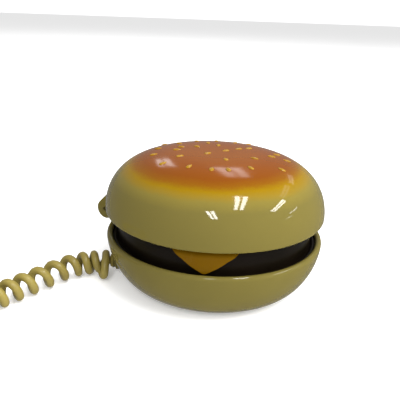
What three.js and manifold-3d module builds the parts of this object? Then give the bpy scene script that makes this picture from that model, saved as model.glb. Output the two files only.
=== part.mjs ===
// A hamburger-shaped folding telephone, built the way the real one comes apart.
// Millimetres, +Z up, +X from the hinge to the mouthpiece end, standing on z = 0.
import * as THREE from "three";
import { mergeVertices } from "three/addons/utils/BufferGeometryUtils.js";
import Module from "manifold-3d";

const wasm = await Module();
wasm.setup();

// ---- driving dimensions ----
const BUN_LENGTH = 130;
const BUN_WIDTH = 124;
const HEIGHT = 79;
const SHELL_WALL = 2.6;
const GAP = 0.3;                      // running and seating gap between separate pieces

const FOOT_LIFT = 1;                  // underside of the lower bun above the table
const LOWER_BASE_RADIUS = 43.5;       // flat underside of the lower bun
const LOWER_WIDEST_Z = 29.8;
const LOWER_CURVE = { spread: 0.93, rise: 1.24 };     // powers that round the lower bun's side
const LIP_RADIUS = 1.8;               // rounded lip of the lower bun

const UPPER_RIM_Z = 44.4;
const UPPER_WIDEST_Z = 46.2;
const UPPER_RIM_INSIDE = 60.4;        // inner radius of the top bun's rim
const UPPER_CURVE = { spread: 0.563, rise: 0.948 };   // powers that round the dome

const PATTY_FLANGE_RADIUS = 61.1;
const PATTY_LEDGE_Z = 26.5;
const PATTY_RADIUS = 58.4;
const DECK_Z = 42.6;                  // top face of the patty, where the keys are
const DECK_THICKNESS = 2.4;
const PATTY_WALL = 2.4;
const COVER_RING_Z = 44.8;            // outer ring of the lid's inner cover
const COVER_DISH_Z = 47.5;            // raised middle of the cover, clear of the keys
const COVER_THICKNESS = 2;

const PIN = { x: -70.1, z: 34.3, radius: 1.1, length: 31 };
const PIN_HOLE_RADIUS = 1.4;
const LUG = { inner: 10, outer: 17, radius: 6.2 };
const BRACKET = { halfWidth: 9.6, radius: 4.7 };

const KEY = { length: 8, width: 10.5, top: 45.4, bottom: 38.9, flange: 1, flangeHeight: 1 };
const KEY_ROW_PITCH = 11.5;
const KEY_COLUMN_PITCH = 14;
const FIRST_ROW_X = -18;
const FUNCTION_ROW_X = 29;
const FUNCTION_KEY_Y = 9;

const CORD_DIAMETER = 4.7;            // strand of the curly cord
const CURL_DIAMETER = 14.8;           // outside of the curls
const CORD_EXIT_ANGLE = 211.4;        // plan angle of the cord's boss, degrees from +X
const BOSS_FACE = 61;                 // distance of the boss's face from the bun's axis
const BOSS = { halfWidth: 5.6, low: 3.8, high: 22, corner: 5, start: 48 };
const CORD_EXIT_Z = 9;
// Bushing: radii, and places along the exit line measured from the bun's axis.
const BUSHING = {
  bore: 2.7, neck: 3.3, nose: 4.6, noseLength: 1.8, flange: 5, flangeStart: 54, flangeEnd: 55.6,
};

const SEED = { length: 4.8, width: 2.9, height: 1.3 };

// ---- worked out from the driving dimensions ----
const HALF = BUN_LENGTH / 2;
const PLAN_RATIO = BUN_WIDTH / BUN_LENGTH;
const HINGE_REACH = -PIN.x + LUG.radius;
const ORIGIN_SHIFT = (HINGE_REACH - HALF) / 2;    // centres the closed phone on the origin
const LIP_Z = LOWER_WIDEST_Z + LIP_RADIUS;
const PLAN_SIDES = 40;                // flat sides around each bun
const DECK_UNDERSIDE = DECK_Z - DECK_THICKNESS;

// ---- colours ----
const CREAM = { color: 0x8f8550, roughness: 0.22 };
const PATTY_BROWN = { color: 0x171008, roughness: 0.2 };
const CHEESE = { color: 0xa87404, roughness: 0.3 };
const RUBBER = { color: 0x1a1a1a, roughness: 0.85 };
const STEEL = { color: 0xa8a8a8, roughness: 0.35, metalness: 1 };
const BOARD_GREEN = { color: 0x1d4a24, roughness: 0.5 };
const BLACK_PLASTIC = { color: 0x141414, roughness: 0.5 };
const CLEAR_PLASTIC = { color: 0xd8dcd8, roughness: 0.1 };
const BRASS = { color: 0xb08a3c, roughness: 0.3, metalness: 1 };

const phone = new THREE.Group();
phone.name = "burger_telephone";
const bun = new THREE.Group();
bun.position.x = ORIGIN_SHIFT;
phone.add(bun);

// ---- helpers ----
function addPart(name, geometry, look) {
  const mesh = new THREE.Mesh(geometry, new THREE.MeshStandardMaterial(look));
  mesh.name = name;
  bun.add(mesh);
  return mesh;
}

// A closed mesh with only merged positions, as a solid for joining and cutting.
function toSolid(geometry) {
  const bare = geometry.clone();
  bare.deleteAttribute("normal");
  bare.deleteAttribute("uv");
  const merged = mergeVertices(bare, 1e-4);
  const index = Array.from(merged.index.array);
  const triangles = [];
  for (let i = 0; i < index.length; i += 3) {
    const [a, b, c] = index.slice(i, i + 3);
    if (a !== b && b !== c && c !== a) {
      triangles.push(a, b, c);
    }
  }
  return new wasm.Manifold(new wasm.Mesh({
    numProp: 3,
    vertProperties: new Float32Array(merged.attributes.position.array),
    triVerts: new Uint32Array(triangles),
  }));
}

function fromSolid(solid) {
  const mesh = solid.getMesh();
  const geometry = new THREE.BufferGeometry();
  geometry.setAttribute("position", new THREE.BufferAttribute(new Float32Array(mesh.vertProperties), 3));
  geometry.setIndex(Array.from(mesh.triVerts));
  geometry.computeVertexNormals();
  return geometry;
}

function joined(first, others) {
  return others.reduce((total, geometry) => total.add(toSolid(geometry)), toSolid(first));
}

function cut(solid, tools) {
  return tools.reduce((left, geometry) => left.subtract(toSolid(geometry)), solid);
}

// Turns a profile of [radius, z] points about the Z axis; the plan is an ellipse where asked.
function revolve(profile, segments, planRatio = 1) {
  const points = profile.map(([radius, z]) => new THREE.Vector2(radius, z));
  const geometry = new THREE.LatheGeometry(points, segments);
  geometry.rotateX(Math.PI / 2);
  geometry.scale(1, planRatio, 1);
  return geometry;
}

function box(sizeX, sizeY, lowZ, highZ, x = 0, y = 0) {
  return new THREE.BoxGeometry(sizeX, sizeY, highZ - lowZ).translate(x, y, (lowZ + highZ) / 2);
}

// A round post or hole along Z.
function post(radius, lowZ, highZ, x = 0, y = 0, sides = 16) {
  const geometry = new THREE.CylinderGeometry(radius, radius, highZ - lowZ, sides);
  return geometry.rotateX(Math.PI / 2).translate(x, y, (lowZ + highZ) / 2);
}

// A round bar or hole along Y, centred on the XZ plane.
function crossBar(radius, length, x, z, sides = 24) {
  return new THREE.CylinderGeometry(radius, radius, length, sides).translate(x, 0, z);
}

// An outline in the XZ plane, given thickness along Y from lowY to highY.
function sideSlab(outline, lowY, highY) {
  const geometry = new THREE.ExtrudeGeometry(new THREE.Shape(outline), {
    depth: highY - lowY,
    bevelEnabled: false,
  });
  return geometry.rotateX(Math.PI / 2).translate(0, highY, 0);
}

// Points of an arc in the XZ plane, angles in degrees.
function arcPoints(x, z, radius, fromAngle, toAngle, steps) {
  const points = [];
  for (let i = 0; i <= steps; i += 1) {
    const angle = THREE.MathUtils.degToRad(fromAngle + ((toAngle - fromAngle) * i) / steps);
    points.push(new THREE.Vector2(x + radius * Math.cos(angle), z + radius * Math.sin(angle)));
  }
  return points;
}

function roundSection(radius, sides) {
  const section = new THREE.Shape();
  for (let i = 0; i < sides; i += 1) {
    const angle = (2 * Math.PI * i) / sides;
    const x = radius * Math.cos(angle);
    const y = radius * Math.sin(angle);
    if (i === 0) {
      section.moveTo(x, y);
    } else {
      section.lineTo(x, y);
    }
  }
  section.closePath();
  return section;
}

function tube(points, radius, sides, steps) {
  const path = new THREE.CatmullRomCurve3(points.map((p) => new THREE.Vector3(...p)));
  return new THREE.ExtrudeGeometry(roundSection(radius, sides), { steps, extrudePath: path });
}

// ---- bun profiles ----

// Outside of the lower bun: radius and height at angle t, from the flat underside to the lip.
function lowerOutside(t) {
  const spread = Math.pow(Math.cos(t), LOWER_CURVE.spread);
  const rise = 1 - Math.pow(Math.sin(t), LOWER_CURVE.rise);
  return [
    LOWER_BASE_RADIUS + (HALF - LOWER_BASE_RADIUS) * spread,
    FOOT_LIFT + (LOWER_WIDEST_Z - FOOT_LIFT) * rise,
  ];
}

// Outside of the top bun: radius and height at angle t, from the widest ring to the apex.
function upperOutside(t) {
  return [
    HALF * Math.pow(Math.cos(t), UPPER_CURVE.spread),
    UPPER_WIDEST_Z + (HEIGHT - UPPER_WIDEST_Z) * Math.pow(Math.sin(t), UPPER_CURVE.rise),
  ];
}

// Inside of the top bun, the same dome drawn in by the wall thickness.
function upperInside(t) {
  return [
    (HALF - SHELL_WALL) * Math.pow(Math.cos(t), UPPER_CURVE.spread),
    UPPER_WIDEST_Z + (HEIGHT - SHELL_WALL - UPPER_WIDEST_Z) * Math.pow(Math.sin(t), UPPER_CURVE.rise),
  ];
}

function lowerBunProfile() {
  const profile = [[0, FOOT_LIFT]];
  const steps = 9;
  for (let i = steps; i >= 0; i -= 1) {
    profile.push(lowerOutside((Math.PI / 2) * (i / steps)));
  }
  const lipCentre = HALF - LIP_RADIUS;
  for (const angle of [45, 90, 135]) {
    const turn = THREE.MathUtils.degToRad(angle);
    profile.push([lipCentre + LIP_RADIUS * Math.cos(turn), LOWER_WIDEST_Z + LIP_RADIUS * Math.sin(turn)]);
  }
  profile.push([lipCentre - LIP_RADIUS, LOWER_WIDEST_Z]);
  profile.push([lipCentre - LIP_RADIUS, PATTY_LEDGE_Z - GAP]);
  const insideSteps = 6;
  for (let i = 2; i <= insideSteps; i += 1) {
    const [radius, z] = lowerOutside((Math.PI / 2) * (i / insideSteps));
    profile.push([radius - SHELL_WALL, z + SHELL_WALL * (i / insideSteps)]);
  }
  profile.push([0, FOOT_LIFT + SHELL_WALL]);
  return profile;
}

function topBunProfile() {
  const profile = [
    [UPPER_RIM_INSIDE, UPPER_RIM_Z],
    [62.6, UPPER_RIM_Z],
    [64.4, UPPER_RIM_Z + 0.7],
  ];
  const steps = 12;
  for (let i = 0; i <= steps; i += 1) {
    profile.push(i === steps ? [0, HEIGHT] : upperOutside((Math.PI / 2) * (i / steps)));
  }
  const insideSteps = 9;
  profile.push([0, HEIGHT - SHELL_WALL]);
  for (let i = insideSteps - 1; i >= 1; i -= 1) {
    profile.push(upperInside((Math.PI / 2) * (i / insideSteps)));
  }
  profile.push([UPPER_RIM_INSIDE, UPPER_RIM_Z + 2.4]);
  profile.push([UPPER_RIM_INSIDE, UPPER_RIM_Z]);
  return profile;
}

function pattyProfile() {
  const underside = PATTY_LEDGE_Z;
  return [
    [0, DECK_UNDERSIDE],
    [PATTY_RADIUS - PATTY_WALL - 1.5, DECK_UNDERSIDE],
    [PATTY_RADIUS - PATTY_WALL, DECK_UNDERSIDE - 4],
    [PATTY_RADIUS - PATTY_WALL, underside],
    [PATTY_FLANGE_RADIUS, underside],
    [PATTY_FLANGE_RADIUS, underside + 2.6],
    [PATTY_FLANGE_RADIUS - 0.7, underside + 3.2],
    [PATTY_FLANGE_RADIUS - 1.7, underside + 2.6],
    [PATTY_RADIUS - 0.2, underside + 1.4],
    [PATTY_RADIUS - 0.6, underside + 2.4],
    [PATTY_RADIUS, underside + 8],
    [PATTY_RADIUS - 0.3, DECK_Z - 4],
    [PATTY_RADIUS - 1.3, DECK_Z - 1.4],
    [PATTY_RADIUS - 3.2, DECK_Z],
    [0, DECK_Z],
  ];
}

// ---- lower bun ----
const FOOT_PLACES = [[31, 14], [31, -14], [-31, 14], [-31, -14]];
const BASE_SCREW_PLACES = [[14.5, 30], [14.5, -30], [-14.5, 30], [-14.5, -30]];
const SWITCH_PLACES = { tone: [-1, 21], ringer: [-1, -21] };
const BASE_FLOOR = FOOT_LIFT + SHELL_WALL;
const SCREW_HEAD_TOP = 2.4;
const FOOT = { radius: 4.2, recess: 4.6, depth: 1.4, height: 1.1 };
const SWITCH_SLOT = { length: 8.4, width: 3.6 };
// Base screws: head, shaft and the clearances they pass through.
const SCREW = { head: 2.7, headThickness: 1.1, shaft: 1.3, shaftTop: 13, tip: 14.2, recess: 3.1, hole: 1.7 };

// Unit vector of the cord's exit in plan, and a point at a distance along it.
function exitPoint(distance, z) {
  const angle = THREE.MathUtils.degToRad(CORD_EXIT_ANGLE);
  return [distance * Math.cos(angle), distance * Math.sin(angle), z];
}

// A profile of [radius, distance] points turned about the cord's exit line.
function aroundExit(profile, sides) {
  const geometry = new THREE.LatheGeometry(profile.map(([r, d]) => new THREE.Vector2(r, d)), sides);
  geometry.rotateZ(-Math.PI / 2);
  geometry.rotateZ(THREE.MathUtils.degToRad(CORD_EXIT_ANGLE));
  return geometry.translate(0, 0, CORD_EXIT_Z);
}

function exitBoss() {
  const { halfWidth, low, high, corner, start } = BOSS;
  const outline = new THREE.Shape();
  outline.moveTo(-halfWidth, low + corner);
  outline.absarc(-halfWidth + corner, low + corner, corner, Math.PI, 1.5 * Math.PI);
  outline.absarc(halfWidth - corner, low + corner, corner, 1.5 * Math.PI, 2 * Math.PI);
  outline.absarc(halfWidth - corner, high - corner, corner, 0, 0.5 * Math.PI);
  outline.absarc(-halfWidth + corner, high - corner, corner, 0.5 * Math.PI, Math.PI);
  const geometry = new THREE.ExtrudeGeometry(outline, {
    depth: BOSS_FACE - start,
    bevelEnabled: false,
    curveSegments: 5,
  });
  geometry.rotateX(Math.PI / 2);
  geometry.rotateZ(Math.PI / 2);
  geometry.translate(start, 0, 0);
  return geometry.rotateZ(THREE.MathUtils.degToRad(CORD_EXIT_ANGLE));
}

function hingeBracket() {
  const outline = [
    ...arcPoints(PIN.x, PIN.z, BRACKET.radius, 20, 200, 10),
    new THREE.Vector2(-60, 9),
    new THREE.Vector2(-56, 14),
    new THREE.Vector2(-62.5, LOWER_WIDEST_Z),
    new THREE.Vector2(PIN.x + BRACKET.radius + 0.4, LOWER_WIDEST_Z + 0.3),
  ];
  return sideSlab(outline, -BRACKET.halfWidth, BRACKET.halfWidth);
}

// Everything inside the lower bun's walls, used to trim what is joined from outside.
function lowerCavity() {
  const full = lowerBunProfile();
  const above = LIP_Z + 5;
  const lipTop = full.findIndex(([, z]) => z > LIP_Z - 0.01);
  const inside = full.slice(lipTop + 2);
  inside[0] = [inside[0][0], above];
  return revolve([...inside.reverse(), [0, above]], PLAN_SIDES, PLAN_RATIO);
}

// The stepped hole that the cord's bushing is pulled into from inside.
function bushingSeat() {
  const wide = BUSHING.flange + 0.4;
  const narrow = BUSHING.neck + GAP;
  const step = BUSHING.flangeEnd + GAP;
  const inner = 40;
  const outer = BOSS_FACE + 1;
  return aroundExit([[0, inner], [wide, inner], [wide, step], [narrow, step], [narrow, outer], [0, outer]], 16);
}

function lowerBunShell() {
  const bowl = revolve(lowerBunProfile(), PLAN_SIDES, PLAN_RATIO);
  const outside = joined(exitBoss(), [hingeBracket()]).subtract(toSolid(lowerCavity()));
  const tools = [
    crossBar(PIN_HOLE_RADIUS, 2 * BRACKET.halfWidth + 2, PIN.x, PIN.z),
    bushingSeat(),
  ];
  for (const [x, y] of FOOT_PLACES) {
    tools.push(post(FOOT.recess, 0, FOOT_LIFT + FOOT.depth, x, y));
  }
  for (const [x, y] of BASE_SCREW_PLACES) {
    tools.push(post(SCREW.recess, 0, SCREW_HEAD_TOP + GAP, x, y));
    tools.push(post(SCREW.hole, 0, BASE_FLOOR + 1, x, y, 10));
  }
  for (const [x, y] of Object.values(SWITCH_PLACES)) {
    tools.push(box(SWITCH_SLOT.length, SWITCH_SLOT.width, 0, BASE_FLOOR + 1, x, y));
  }
  return fromSolid(cut(toSolid(bowl).add(outside), tools));
}

addPart("lower_bun_shell", lowerBunShell(), CREAM);

for (const [i, [x, y]] of FOOT_PLACES.entries()) {
  addPart(`rubber_foot_${i + 1}`, post(FOOT.radius, 0, FOOT_LIFT + FOOT.height, x, y), RUBBER);
}

function baseScrew(x, y) {
  const headUnder = SCREW_HEAD_TOP - SCREW.headThickness;
  const geometry = revolve([
    [0, headUnder], [SCREW.head, headUnder], [SCREW.head, SCREW_HEAD_TOP],
    [SCREW.shaft, SCREW_HEAD_TOP], [SCREW.shaft, SCREW.shaftTop], [0, SCREW.tip],
  ], 12);
  return geometry.translate(x, y, 0);
}

for (const [i, [x, y]] of BASE_SCREW_PLACES.entries()) {
  addPart(`base_screw_${i + 1}`, baseScrew(x, y), STEEL);
}

// ---- patty, which is the keypad deck ----
const KEYS = [
  ["key_1", 0, -1], ["key_2", 0, 0], ["key_3", 0, 1],
  ["key_4", 1, -1], ["key_5", 1, 0], ["key_6", 1, 1],
  ["key_7", 2, -1], ["key_8", 2, 0], ["key_9", 2, 1],
  ["key_star", 3, -1], ["key_0", 3, 0], ["key_hash", 3, 1],
].map(([name, row, column]) => [name, FIRST_ROW_X + row * KEY_ROW_PITCH, column * KEY_COLUMN_PITCH]);
KEYS.push(["key_redial", FUNCTION_ROW_X, -FUNCTION_KEY_Y], ["key_flash", FUNCTION_ROW_X, FUNCTION_KEY_Y]);

const PLUNGER = { x: -38, radius: 2.8, bottom: 36.4, top: COVER_DISH_Z - GAP };
const MICROPHONE_X = 45.5;
const BOARD = { low: 33.7, high: 35.3, fromX: -32, toX: 37.5, halfWidth: 25 };
const PEG_PLACES = [[-29, 22.6], [-29, -22.6], [35, 22.6], [35, -22.6]];
const PEG_RADIUS = 1.8;
const PILLAR = { radius: 3.4, clearance: 0.4, bore: 1.6, boreTop: 17 };
const KEY_CLEARANCE = 0.8;            // key openings over the keys, both sides together
const SOUND_HOLE_RADIUS = 0.8;
const CHEESE_ANGLE = -68;
const CHEESE_TAB = { halfWidth: 19.5, from: 47, thickness: 1.2 };

// The shallow seat for the cheese's tab, cut into the deck's edge.
function cheeseSeat() {
  const depth = 1.1;
  const length = 30;
  const start = 41;
  const halfWidth = CHEESE_TAB.halfWidth + GAP;
  const seat = box(length, 2 * halfWidth, DECK_Z - depth, DECK_Z + 3, start + length / 2);
  return seat.rotateZ(THREE.MathUtils.degToRad(CHEESE_ANGLE));
}

function pattyDeck() {
  const cap = revolve(pattyProfile(), PLAN_SIDES, PLAN_RATIO);
  const pillars = [];
  const tools = [cheeseSeat(), post(PLUNGER.radius + 0.4, 30, DECK_Z + 1, PLUNGER.x, 0)];
  for (const [x, y] of BASE_SCREW_PLACES) {
    pillars.push(post(PILLAR.radius, BASE_FLOOR + PILLAR.clearance, DECK_UNDERSIDE + 1, x, y, 12));
    tools.push(post(PILLAR.bore, 0, PILLAR.boreTop, x, y, 10));
  }
  for (const [x, y] of PEG_PLACES) {
    pillars.push(post(PEG_RADIUS, BOARD.high + GAP, DECK_UNDERSIDE + 1, x, y, 10));
  }
  for (const [, x, y] of KEYS) {
    tools.push(box(KEY.length + KEY_CLEARANCE, KEY.width + KEY_CLEARANCE, DECK_UNDERSIDE - 1, DECK_Z + 1, x, y));
  }
  for (const offset of [-3, 0, 3]) {
    tools.push(post(SOUND_HOLE_RADIUS, DECK_UNDERSIDE - 1, DECK_Z + 1, MICROPHONE_X, offset, 8));
  }
  return fromSolid(cut(joined(cap, pillars), tools));
}

addPart("patty_deck", pattyDeck(), PATTY_BROWN);

// The cheese: a flat tab on the deck's edge, folded down the patty's side to a corner.
// u runs around the patty, v from the tab's inner edge over the fold and down to the tip.
function cheeseSlice() {
  const path = [
    [CHEESE_TAB.from, DECK_Z - 0.7],
    [53.5, DECK_Z - 0.7],
    [56.8, DECK_Z - 0.7],
    [58.5, DECK_Z - 2],
    [58.9, DECK_Z - 4.6],
    [59.1, DECK_Z - 8.2],
    [59.5, DECK_Z - 11.4],
  ];
  const outward = [[0, 1], [0.08, 1], [0.4, 0.92], [0.9, 0.45], [1, 0.1], [1, 0.02], [1, 0]];
  const reach = [0.94, 1, 0.97, 0.83, 0.6, 0.34, 0.06];
  const columns = 12;
  const positions = [];
  for (const side of [0, CHEESE_TAB.thickness]) {
    path.forEach(([radius, z], row) => {
      for (let i = 0; i <= columns; i += 1) {
        const along = (2 * i) / columns - 1;
        const swing = (CHEESE_TAB.halfWidth * along * reach[row]) / 59.5;
        const angle = THREE.MathUtils.degToRad(CHEESE_ANGLE) + swing;
        const r = radius + side * outward[row][0];
        positions.push(r * Math.cos(angle), r * PLAN_RATIO * Math.sin(angle), z + side * outward[row][1]);
      }
    });
  }
  const rows = path.length;
  const width = columns + 1;
  const at = (side, row, column) => side * rows * width + row * width + column;
  const triangles = [];
  const quad = (a, b, c, d) => triangles.push(a, b, c, a, c, d);
  for (let row = 0; row < rows - 1; row += 1) {
    for (let i = 0; i < columns; i += 1) {
      quad(at(1, row, i), at(1, row + 1, i), at(1, row + 1, i + 1), at(1, row, i + 1));
      quad(at(0, row, i), at(0, row, i + 1), at(0, row + 1, i + 1), at(0, row + 1, i));
    }
    quad(at(0, row, 0), at(0, row + 1, 0), at(1, row + 1, 0), at(1, row, 0));
    quad(at(0, row, columns), at(1, row, columns), at(1, row + 1, columns), at(0, row + 1, columns));
  }
  for (let i = 0; i < columns; i += 1) {
    quad(at(0, 0, i), at(1, 0, i), at(1, 0, i + 1), at(0, 0, i + 1));
    quad(at(0, rows - 1, i), at(0, rows - 1, i + 1), at(1, rows - 1, i + 1), at(1, rows - 1, i));
  }
  const geometry = new THREE.BufferGeometry();
  geometry.setAttribute("position", new THREE.Float32BufferAttribute(positions, 3));
  geometry.setIndex(triangles);
  geometry.computeVertexNormals();
  return geometry;
}

addPart("cheese_slice", cheeseSlice(), CHEESE);

// ---- keys, mat and board ----
function keyShape() {
  const chamfer = 0.7;
  const halfLength = KEY.length / 2;
  const halfWidth = KEY.width / 2;
  const cap = new THREE.BoxGeometry(KEY.length, KEY.width, KEY.top - KEY.bottom - 0.5);
  cap.translate(0, 0, (KEY.top + KEY.bottom + 0.5) / 2);
  const place = cap.attributes.position;
  for (let i = 0; i < place.count; i += 1) {
    if (place.getZ(i) > KEY.top - 0.1) {
      place.setX(i, Math.sign(place.getX(i)) * (halfLength - chamfer));
      place.setY(i, Math.sign(place.getY(i)) * (halfWidth - chamfer));
    }
  }
  const flange = box(
    KEY.length + 2 * KEY.flange, KEY.width + 2 * KEY.flange, KEY.bottom, KEY.bottom + KEY.flangeHeight,
  );
  return fromSolid(joined(cap, [flange]));
}

for (const [name, x, y] of KEYS) {
  addPart(name, keyShape().translate(x, y, 0), BLACK_PLASTIC);
}

addPart("keypad_mat", box(60, 41, BOARD.high + GAP, 37.4, 4), RUBBER);

function mainBoard() {
  const centre = (BOARD.fromX + BOARD.toX) / 2;
  const plate = box(BOARD.toX - BOARD.fromX, 2 * BOARD.halfWidth, BOARD.low, BOARD.high, centre);
  const chips = [
    box(18, 7, BOARD.low - 2.4, BOARD.low + 0.4, -4, 6),
    box(9, 5, BOARD.low - 2, BOARD.low + 0.4, 16, -8),
    post(3.5, BOARD.low - 9, BOARD.low + 0.4, 26, 12, 12),
    post(2.6, BOARD.low - 7, BOARD.low + 0.4, -18, -12, 12),
    box(7, 5, BOARD.low - 5, BOARD.low + 0.4, -27, -4),
  ];
  return fromSolid(joined(plate, chips));
}

addPart("main_circuit_board", mainBoard(), BOARD_GREEN);

// ---- hook switch, worked by the closed lid ----
function hookPlunger() {
  return revolve([
    [0, PLUNGER.bottom], [4.3, PLUNGER.bottom], [4.3, PLUNGER.bottom + 1],
    [PLUNGER.radius, PLUNGER.bottom + 1], [PLUNGER.radius, PLUNGER.top - 0.6],
    [PLUNGER.radius - 0.6, PLUNGER.top], [0, PLUNGER.top],
  ], 16).translate(PLUNGER.x, 0, 0);
}

addPart("hook_plunger", hookPlunger(), BLACK_PLASTIC);
addPart("hook_switch_body", box(10.5, 8, 28.5, PLUNGER.bottom - GAP, PLUNGER.x), BLACK_PLASTIC);

// ---- microphone in its rubber boot, under the deck's sound holes ----
function microphoneBoot() {
  const top = DECK_UNDERSIDE - GAP;
  return revolve([
    [0, 32.6], [6.4, 32.6], [6.4, top], [5.2, top], [5.2, 34], [0, 34],
  ], 20).translate(MICROPHONE_X, 0, 0);
}

addPart("microphone_boot", microphoneBoot(), RUBBER);
addPart("microphone_capsule", post(4.8, 34.3, 39.2, MICROPHONE_X, 0, 20), STEEL);

// ---- slide switches through the underside ----
function switchBody(x, y) {
  const body = toSolid(box(15, 7, BASE_FLOOR + GAP, BASE_FLOOR + 6, x, y));
  return fromSolid(cut(body, [box(11.6, 4.4, BASE_FLOOR - 1, BASE_FLOOR + 3.6, x, y)]));
}

function switchSlider(x, y) {
  const knob = box(3.4, 2.8, FOOT_LIFT + GAP, BASE_FLOOR + 2, x, y);
  const shoe = box(6, 3.6, BASE_FLOOR + 1, BASE_FLOOR + 3.2, x, y);
  return fromSolid(joined(knob, [shoe]));
}

const SWITCH_TRAVEL = 4;
for (const [name, [x, y]] of Object.entries(SWITCH_PLACES)) {
  addPart(`${name}_switch_body`, switchBody(x, y), BLACK_PLASTIC);
  addPart(`${name}_switch_slider`, switchSlider(x - SWITCH_TRAVEL / 2, y), BLACK_PLASTIC);
}

// ---- on the floor of the lower bun ----
addPart("ballast_plate", box(48, 30, BASE_FLOOR + GAP, BASE_FLOOR + 5.3, 13), STEEL);
addPart("ringer_sounder", post(10.5, BASE_FLOOR + GAP, BASE_FLOOR + 2, -26, 0, 24), BRASS);

// ---- line cord's bushing and the lead behind it ----
function strainRelief() {
  const { bore, neck, nose, noseLength, flange, flangeStart, flangeEnd } = BUSHING;
  const face = BOSS_FACE + GAP;
  return aroundExit([
    [bore, flangeStart], [flange, flangeStart], [flange, flangeEnd], [neck, flangeEnd],
    [neck, face], [nose, face], [nose - 0.9, face + noseLength], [bore, face + noseLength],
    [bore, flangeStart],
  ], 16);
}

addPart("cord_strain_relief", strainRelief(), CREAM);

function lineLead() {
  return tube([
    exitPoint(BOSS_FACE + 1.6, CORD_EXIT_Z), exitPoint(58, CORD_EXIT_Z), exitPoint(53, CORD_EXIT_Z),
    exitPoint(47, 12), [-34, -17, 20], [-27, -11, 26], [-26, -11, BOARD.low - 1.6],
  ], CORD_DIAMETER / 2 - 0.05, 8, 16);
}

addPart("line_lead", lineLead(), CREAM);

// ---- hinge pin ----
addPart("hinge_pin", crossBar(PIN.radius, PIN.length, PIN.x, PIN.z, 16), STEEL);

// ---- top bun ----
// Rings of seeds: plan radius as a fraction of the bun's, and the angle of each seed in degrees.
const SEED_RINGS = [
  { radius: 0.1, angles: [60, -110] },
  { radius: 0.25, angles: [-46, 64, 112, 163] },
  { radius: 0.36, angles: [5, 60, 132, 182, 202, 238] },
  { radius: 0.49, angles: [-90, -70, -50, -27, 24, 92, 116, 140, 160] },
  { radius: 0.56, angles: [40, 80, 192, 216, 246] },
  { radius: 0.63, angles: [-2, 22, 171] },
];
const LID_SCREW_ANGLES = [60, 180, 300];
const LID_SCREW_RADIUS = 44;

// Height of the dome at a plan radius given as a fraction of the full radius.
function domeHeight(fraction) {
  const t = Math.acos(Math.pow(fraction, 1 / UPPER_CURVE.spread));
  return upperOutside(t)[1];
}

// Sesame seeds, moulded in relief and pointing at the apex.
function seeds() {
  const shapes = [];
  const nudge = 0.02;
  for (const ring of SEED_RINGS) {
    const rise = domeHeight(ring.radius + nudge) - domeHeight(ring.radius - nudge);
    const slope = Math.atan(rise / (2 * nudge * HALF));
    const r = HALF * ring.radius;
    for (const degrees of ring.angles) {
      const angle = THREE.MathUtils.degToRad(degrees);
      const seed = new THREE.SphereGeometry(0.5, 6, 4);
      seed.scale(SEED.length, SEED.width, SEED.height);
      seed.rotateY(-slope);
      seed.rotateZ(angle);
      seed.translate(r * Math.cos(angle), r * PLAN_RATIO * Math.sin(angle), domeHeight(ring.radius));
      shapes.push(seed);
    }
  }
  return shapes;
}

function lidLug(lowY, highY) {
  const outline = [
    ...arcPoints(PIN.x, PIN.z, LUG.radius, 138, 338, 12),
    new THREE.Vector2(-61.4, UPPER_RIM_Z),
    new THREE.Vector2(-61.4, 51.6),
  ];
  return sideSlab(outline, lowY, highY);
}

function lidScrewPlaces() {
  return LID_SCREW_ANGLES.map((degrees) => {
    const angle = THREE.MathUtils.degToRad(degrees);
    return [LID_SCREW_RADIUS * Math.cos(angle), LID_SCREW_RADIUS * PLAN_RATIO * Math.sin(angle)];
  });
}

function topBunShell() {
  const dome = revolve(topBunProfile(), PLAN_SIDES, PLAN_RATIO);
  const pillarLow = COVER_DISH_Z + COVER_THICKNESS + GAP;
  const pillars = lidScrewPlaces().map(([x, y]) => post(3.2, pillarLow, 72.6, x, y, 12));
  const lugs = [lidLug(LUG.inner, LUG.outer), lidLug(-LUG.outer, -LUG.inner)];
  const tools = [crossBar(PIN_HOLE_RADIUS, 2 * LUG.outer + 2, PIN.x, PIN.z)];
  for (const [x, y] of lidScrewPlaces()) {
    tools.push(post(1.6, 40, 61, x, y, 10));
  }
  return fromSolid(cut(joined(dome, [...pillars, ...lugs, ...seeds()]), tools));
}

addPart("top_bun_shell", topBunShell(), CREAM);

// ---- lid's inner cover with the earpiece ----
const EARPIECE_X = 22;

function coverProfile() {
  const under = COVER_RING_Z;
  return [
    [0, COVER_DISH_Z], [49.5, COVER_DISH_Z], [51.6, under], [59.8, under],
    [59.8, under + 1.8], [53.2, under + 1.8], [50.6, COVER_DISH_Z + COVER_THICKNESS],
    [0, COVER_DISH_Z + COVER_THICKNESS],
  ];
}

function lidInnerCover() {
  const plate = toSolid(revolve(coverProfile(), PLAN_SIDES, PLAN_RATIO));
  const low = COVER_DISH_Z - 1;
  const high = COVER_DISH_Z + COVER_THICKNESS + 1;
  const tools = [post(1.1, low, high, EARPIECE_X, 0, 8)];
  for (let i = 0; i < 6; i += 1) {
    const angle = (Math.PI * i) / 3;
    tools.push(post(1.1, low, high, EARPIECE_X + 6 * Math.cos(angle), 6 * Math.sin(angle), 8));
  }
  for (const [x, y] of lidScrewPlaces()) {
    tools.push(post(1.6, low, high, x, y, 10));
  }
  return fromSolid(cut(plate, tools));
}

addPart("lid_inner_cover", lidInnerCover(), CREAM);

function lidScrew(x, y) {
  const headTop = COVER_DISH_Z - GAP;
  return revolve([
    [0, headTop - 1.1], [2.5, headTop - 1.1], [2.5, headTop], [1.25, headTop], [1.25, 58], [0, 59],
  ], 12).translate(x, y, 0);
}

for (const [i, [x, y]] of lidScrewPlaces().entries()) {
  addPart(`lid_screw_${i + 1}`, lidScrew(x, y), STEEL);
}

const COVER_TOP = COVER_DISH_Z + COVER_THICKNESS + GAP;

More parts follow.
